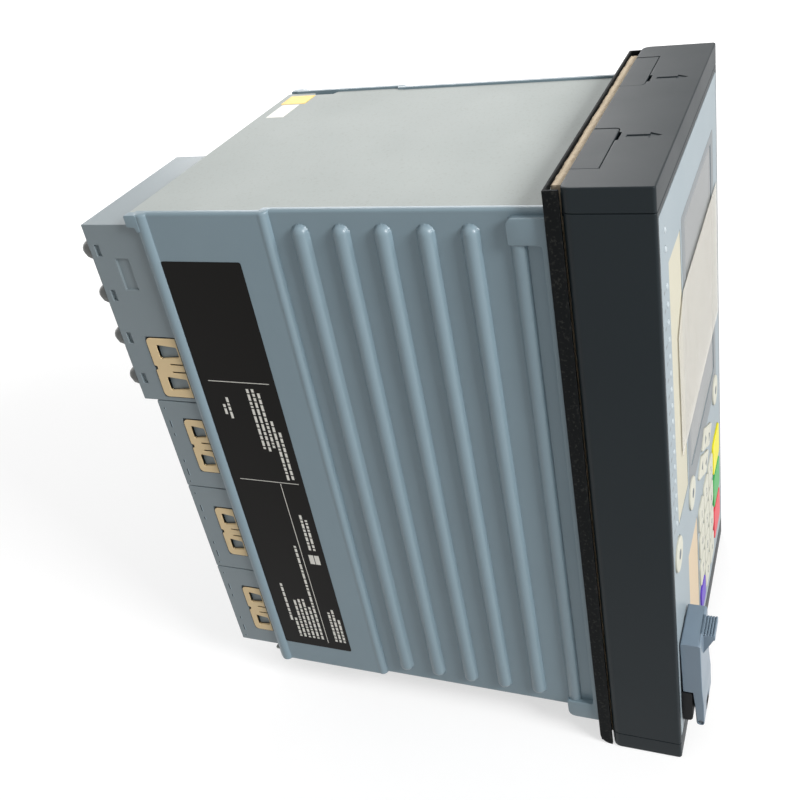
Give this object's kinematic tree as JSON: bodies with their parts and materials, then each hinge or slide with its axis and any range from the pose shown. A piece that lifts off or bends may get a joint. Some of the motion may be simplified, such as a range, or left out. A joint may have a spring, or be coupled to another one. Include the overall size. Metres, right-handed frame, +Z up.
{
  "type": "protection relay",
  "caption": "Flush-mounting protection relay with a keypad and display front, a ribbed blue-grey housing and terminal blocks on the rear.",
  "frame": {"origin": "centre of the relay's outer box, at the level of the mounting flange's lower edge", "axes": "+Z up, +X to the right seen from the front, -Y towards the front, so the terminals are at +Y"},
  "size_m": [0.15, 0.2436, 0.266],
  "materials": {
    "housing_plastic": "satin",
    "housing_sheet": "satin",
    "bezel_plastic": "satin",
    "flange_steel": "matte",
    "gasket_foam": "matte",
    "panel_film": "satin",
    "key_cream": "satin",
    "key_violet": "satin",
    "key_yellow": "satin",
    "key_green": "satin",
    "key_red": "satin",
    "display_glass": "gloss",
    "clear_film": "gloss",
    "light_guide": "gloss",
    "label_strip": "matte",
    "key_strip": "matte",
    "black_plastic": "satin",
    "bright_metal": "polished",
    "board": "satin",
    "cream_plastic": "satin",
    "flap_plastic": "satin"
  },
  "bodies": {
    "root": {"left_side_wall": "housing_plastic", "right_side_wall": "housing_plastic", "top_cover": "housing_sheet", "bottom_cover": "housing_sheet", "rear_panel": "housing_sheet", "mounting_flange": "flange_steel", "foam_gasket": "gasket_foam", "front_frame": "bezel_plastic", "front_panel": "panel_film", "display_window": "display_glass", "display_module": "black_plastic", "display_film": "clear_film", "led_label_strip": "label_strip", "key_label_strip": "key_strip", "led_light_guide": "light_guide", "usb_hinge_block": "black_plastic", "usb_hinge_pin": "bright_metal", "usb_socket": "bright_metal", "front_board": "board", "processor_board": "board", "power_board": "board", "io_board": "board", "current_terminal": "housing_plastic", "voltage_terminal_1": "housing_plastic", "voltage_terminal_2": "housing_plastic", "voltage_terminal_3": "housing_plastic", "release_bracket_1": "cream_plastic", "release_bracket_2": "cream_plastic", "release_bracket_3": "cream_plastic", "release_bracket_4": "cream_plastic", "supply_terminal": "black_plastic", "module_cover_upper": "housing_sheet", "module_cover_lower": "housing_sheet", "network_port": "bright_metal", "earth_screw": "bright_metal"},
    "top_cover_body": {"top_screw_cover": "bezel_plastic"},
    "bottom_cover_body": {"bottom_screw_cover": "bezel_plastic"},
    "flap_body": {"usb_flap": "flap_plastic"},
    "led_reset_key_body": {"led_reset_key": "panel_film"},
    "softkey_left_body": {"softkey_left": "panel_film"},
    "softkey_right_body": {"softkey_right": "panel_film"},
    "nav_key_up_body": {"nav_key_up": "panel_film"},
    "nav_key_down_body": {"nav_key_down": "panel_film"},
    "nav_key_left_body": {"nav_key_left": "panel_film"},
    "nav_key_right_body": {"nav_key_right": "panel_film"},
    "keypad_key_1_body": {"keypad_key_1": "key_cream"},
    "keypad_key_2_body": {"keypad_key_2": "key_cream"},
    "keypad_key_3_body": {"keypad_key_3": "key_cream"},
    "keypad_key_4_body": {"keypad_key_4": "key_cream"},
    "keypad_key_5_body": {"keypad_key_5": "key_cream"},
    "keypad_key_6_body": {"keypad_key_6": "key_cream"},
    "keypad_key_7_body": {"keypad_key_7": "key_cream"},
    "keypad_key_8_body": {"keypad_key_8": "key_cream"},
    "keypad_key_9_body": {"keypad_key_9": "key_cream"},
    "violet_key_body": {"violet_key": "key_violet"},
    "keypad_key_11_body": {"keypad_key_11": "key_cream"},
    "keypad_key_12_body": {"keypad_key_12": "key_cream"},
    "yellow_key_body": {"yellow_key": "key_yellow"},
    "green_key_body": {"green_key": "key_green"},
    "red_key_body": {"red_key": "key_red"}
  },
  "joints": [
    {"name": "usb_flap_hinge", "type": "hinge", "parent": "root", "child": "flap_body", "pos_m": [-0.0585, -0.11615, 0.0197], "axis": [1, 0, 0], "range_deg": [0, 95]},
    {"name": "top_cover_slide", "type": "slide", "parent": "root", "child": "top_cover_body", "axis": [0, -1, 0], "range_m": [0, 0.034]},
    {"name": "bottom_cover_slide", "type": "slide", "parent": "root", "child": "bottom_cover_body", "axis": [0, -1, 0], "range_m": [0, 0.034]},
    {"name": "led_reset_key_press", "type": "slide", "parent": "root", "child": "led_reset_key_body", "axis": [0, 1, 0], "range_m": [0, 0.0008], "stiffness_N_per_m": 1500},
    {"name": "softkey_left_press", "type": "slide", "parent": "root", "child": "softkey_left_body", "axis": [0, 1, 0], "range_m": [0, 0.0008], "stiffness_N_per_m": 1500},
    {"name": "softkey_right_press", "type": "slide", "parent": "root", "child": "softkey_right_body", "axis": [0, 1, 0], "range_m": [0, 0.0008], "stiffness_N_per_m": 1500},
    {"name": "nav_key_up_press", "type": "slide", "parent": "root", "child": "nav_key_up_body", "axis": [0, 1, 0], "range_m": [0, 0.0008], "stiffness_N_per_m": 1500},
    {"name": "nav_key_down_press", "type": "slide", "parent": "root", "child": "nav_key_down_body", "axis": [0, 1, 0], "range_m": [0, 0.0008], "stiffness_N_per_m": 1500},
    {"name": "nav_key_left_press", "type": "slide", "parent": "root", "child": "nav_key_left_body", "axis": [0, 1, 0], "range_m": [0, 0.0008], "stiffness_N_per_m": 1500},
    {"name": "nav_key_right_press", "type": "slide", "parent": "root", "child": "nav_key_right_body", "axis": [0, 1, 0], "range_m": [0, 0.0008], "stiffness_N_per_m": 1500},
    {"name": "keypad_key_1_press", "type": "slide", "parent": "root", "child": "keypad_key_1_body", "axis": [0, 1, 0], "range_m": [0, 0.0008], "stiffness_N_per_m": 1500},
    {"name": "keypad_key_2_press", "type": "slide", "parent": "root", "child": "keypad_key_2_body", "axis": [0, 1, 0], "range_m": [0, 0.0008], "stiffness_N_per_m": 1500},
    {"name": "keypad_key_3_press", "type": "slide", "parent": "root", "child": "keypad_key_3_body", "axis": [0, 1, 0], "range_m": [0, 0.0008], "stiffness_N_per_m": 1500},
    {"name": "keypad_key_4_press", "type": "slide", "parent": "root", "child": "keypad_key_4_body", "axis": [0, 1, 0], "range_m": [0, 0.0008], "stiffness_N_per_m": 1500},
    {"name": "keypad_key_5_press", "type": "slide", "parent": "root", "child": "keypad_key_5_body", "axis": [0, 1, 0], "range_m": [0, 0.0008], "stiffness_N_per_m": 1500},
    {"name": "keypad_key_6_press", "type": "slide", "parent": "root", "child": "keypad_key_6_body", "axis": [0, 1, 0], "range_m": [0, 0.0008], "stiffness_N_per_m": 1500},
    {"name": "keypad_key_7_press", "type": "slide", "parent": "root", "child": "keypad_key_7_body", "axis": [0, 1, 0], "range_m": [0, 0.0008], "stiffness_N_per_m": 1500},
    {"name": "keypad_key_8_press", "type": "slide", "parent": "root", "child": "keypad_key_8_body", "axis": [0, 1, 0], "range_m": [0, 0.0008], "stiffness_N_per_m": 1500},
    {"name": "keypad_key_9_press", "type": "slide", "parent": "root", "child": "keypad_key_9_body", "axis": [0, 1, 0], "range_m": [0, 0.0008], "stiffness_N_per_m": 1500},
    {"name": "violet_key_press", "type": "slide", "parent": "root", "child": "violet_key_body", "axis": [0, 1, 0], "range_m": [0, 0.0008], "stiffness_N_per_m": 1500},
    {"name": "keypad_key_11_press", "type": "slide", "parent": "root", "child": "keypad_key_11_body", "axis": [0, 1, 0], "range_m": [0, 0.0008], "stiffness_N_per_m": 1500},
    {"name": "keypad_key_12_press", "type": "slide", "parent": "root", "child": "keypad_key_12_body", "axis": [0, 1, 0], "range_m": [0, 0.0008], "stiffness_N_per_m": 1500},
    {"name": "yellow_key_press", "type": "slide", "parent": "root", "child": "yellow_key_body", "axis": [0, 1, 0], "range_m": [0, 0.0008], "stiffness_N_per_m": 1500},
    {"name": "green_key_press", "type": "slide", "parent": "root", "child": "green_key_body", "axis": [0, 1, 0], "range_m": [0, 0.0008], "stiffness_N_per_m": 1500},
    {"name": "red_key_press", "type": "slide", "parent": "root", "child": "red_key_body", "axis": [0, 1, 0], "range_m": [0, 0.0008], "stiffness_N_per_m": 1500}
  ]
}
